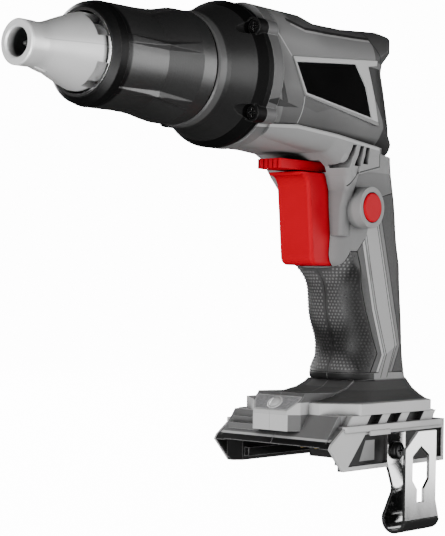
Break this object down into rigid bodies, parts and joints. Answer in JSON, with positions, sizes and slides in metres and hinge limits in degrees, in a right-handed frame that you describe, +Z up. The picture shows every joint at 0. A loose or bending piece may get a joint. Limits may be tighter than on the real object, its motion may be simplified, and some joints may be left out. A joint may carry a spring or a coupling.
{
  "type": "drill driver",
  "caption": "Pistol-grip cordless drywall screwdriver body with a depth-setting nose and collar, trigger, lock-on button, work lamp, belt hook and an open battery foot.",
  "frame": {"origin": "middle of the battery seat, level with the underside of the foot's rails, on the middle plane", "axes": "+Z up, the nose points to -X, the side with the belt hook and lock-on button is -Y"},
  "size_m": [0.249, 0.0771, 0.2306],
  "materials": {
    "housing_grey": "fine moulded texture",
    "cover_grey": "fine moulded texture",
    "frame_grey": "satin moulded",
    "badge_black": "gloss, bare",
    "pad_black": "dotted soft rubber",
    "band_grey": "soft overmould",
    "back_grey": "soft overmould",
    "screw_black": "black oxide",
    "case_black": "satin black on a casting",
    "collar_black": "satin moulded",
    "nose_silver": "satin",
    "bright_steel": "polished",
    "plain_steel": "machined",
    "control_red": "smooth moulded",
    "lens_clear": "clear moulded",
    "hook_chrome": "plated sheet",
    "inner_black": "plain moulded",
    "contact_brass": "plain",
    "winding_copper": "enamelled copper wire",
    "board_green": "circuit board",
    "lead_red": "wire insulation"
  },
  "bodies": {
    "body": {"left_housing": "housing_grey", "right_housing": "housing_grey", "left_cover": "cover_grey", "right_cover": "cover_grey", "badge_frames": "frame_grey", "badges": "badge_black", "left_grip_pad": "pad_black", "right_grip_pad": "pad_black", "left_grip_band": "band_grey", "right_grip_band": "band_grey", "left_back_pad": "back_grey", "right_back_pad": "back_grey", "housing_screws": "screw_black", "gear_case": "case_black", "gear_case_screws": "screw_black", "ring_gear": "plain_steel", "motor_plate": "plain_steel", "spindle_bush": "contact_brass", "collar_retainer": "plain_steel", "stator_core": "plain_steel", "stator_coils": "winding_copper", "sensor_board": "board_green", "motor_bearings": "plain_steel", "trigger_spring": "plain_steel", "switch_module": "inner_black", "lock_button_spring": "plain_steel", "control_module": "inner_black", "terminal_block": "inner_black", "terminal_blades": "contact_brass", "lamp_lens": "lens_clear", "lamp_board": "board_green", "motor_leads": "lead_red", "battery_leads": "lead_red", "belt_hook": "hook_chrome", "belt_hook_screw": "screw_black", "hook_inserts": "contact_brass"},
    "rotor": {"rotor_shaft": "plain_steel", "rotor_core": "plain_steel", "cooling_fan": "inner_black"},
    "carrier": {"planet_carrier": "plain_steel"},
    "planet_1": {"planet_gear_1": "plain_steel"},
    "planet_2": {"planet_gear_2": "plain_steel"},
    "planet_3": {"planet_gear_3": "plain_steel"},
    "spindle_carriage": {"spindle_bearing": "plain_steel"},
    "spindle_set": {"spindle": "plain_steel", "spindle_clip": "plain_steel", "bit_holder": "plain_steel", "holder_magnet": "plain_steel", "screwdriver_bit": "plain_steel", "clutch_spring": "plain_steel"},
    "collar": {"depth_collar": "collar_black", "collar_ring": "bright_steel"},
    "sleeve": {"depth_sleeve": "bright_steel", "nose_retaining_ring": "plain_steel"},
    "nose": {"nose_cone": "nose_silver"},
    "trigger_set": {"trigger": "control_red", "switch_plunger": "inner_black"},
    "lever": {"direction_lever": "control_red"},
    "button": {"lock_button": "control_red"}
  },
  "joints": [
    {"name": "rotor_spin", "type": "hinge", "parent": "body", "child": "rotor", "pos_m": [0, 0, 0.1697], "axis": [1, 0, 0], "continuous": true},
    {"name": "carrier_spin", "type": "hinge", "parent": "body", "child": "carrier", "pos_m": [0, 0, 0.1697], "axis": [1, 0, 0], "continuous": true},
    {"name": "spindle_push", "type": "slide", "parent": "body", "child": "spindle_carriage", "axis": [1, 0, 0], "range_m": [0, 0.003], "stiffness_N_per_m": 2500, "springref_m": -0.002, "deforming": ["clutch_spring"]},
    {"name": "spindle_spin", "type": "hinge", "parent": "spindle_carriage", "child": "spindle_set", "pos_m": [0, 0, 0.1697], "axis": [1, 0, 0], "continuous": true},
    {"name": "collar_turn", "type": "hinge", "parent": "body", "child": "collar", "pos_m": [0, 0, 0.1697], "axis": [1, 0, 0], "range_deg": [-180, 180]},
    {"name": "depth_slide", "type": "slide", "parent": "body", "child": "sleeve", "axis": [1, 0, 0], "range_m": [-0.003, 0.003]},
    {"name": "nose_pull", "type": "slide", "parent": "sleeve", "child": "nose", "axis": [-1, 0, 0], "range_m": [0, 0.026]},
    {"name": "trigger_pull", "type": "slide", "parent": "body", "child": "trigger_set", "axis": [1, 0, 0], "range_m": [0, 0.006], "stiffness_N_per_m": 1500, "springref_m": -0.002, "deforming": ["trigger_spring"]},
    {"name": "lever_swing", "type": "hinge", "parent": "body", "child": "lever", "pos_m": [0.004, 0, 0.1345], "axis": [0, 0, 1], "range_deg": [-9, 9]},
    {"name": "button_press", "type": "slide", "parent": "body", "child": "button", "axis": [0, 1, 0], "range_m": [0, 0.0025], "stiffness_N_per_m": 1200, "springref_m": -0.001, "deforming": ["lock_button_spring"]},
    {"name": "planet_1_spin", "type": "hinge", "parent": "carrier", "child": "planet_1", "pos_m": [-0.091, 0.0135, 0.1697], "axis": [1, 0, 0], "continuous": true},
    {"name": "planet_2_spin", "type": "hinge", "parent": "carrier", "child": "planet_2", "pos_m": [-0.091, -0.00675, 0.18139], "axis": [1, 0, 0], "continuous": true},
    {"name": "planet_3_spin", "type": "hinge", "parent": "carrier", "child": "planet_3", "pos_m": [-0.091, -0.00675, 0.15801], "axis": [1, 0, 0], "continuous": true}
  ],
  "couplings": [
    {"joint": "carrier_spin", "follows": "rotor_spin", "ratio": 0.22222},
    {"joint": "spindle_spin", "follows": "rotor_spin", "ratio": 0.22222},
    {"joint": "depth_slide", "follows": "collar_turn", "m_per_rad": 0.00095},
    {"joint": "planet_1_spin", "follows": "rotor_spin", "ratio": -0.62222},
    {"joint": "planet_2_spin", "follows": "rotor_spin", "ratio": -0.62222},
    {"joint": "planet_3_spin", "follows": "rotor_spin", "ratio": -0.62222}
  ]
}
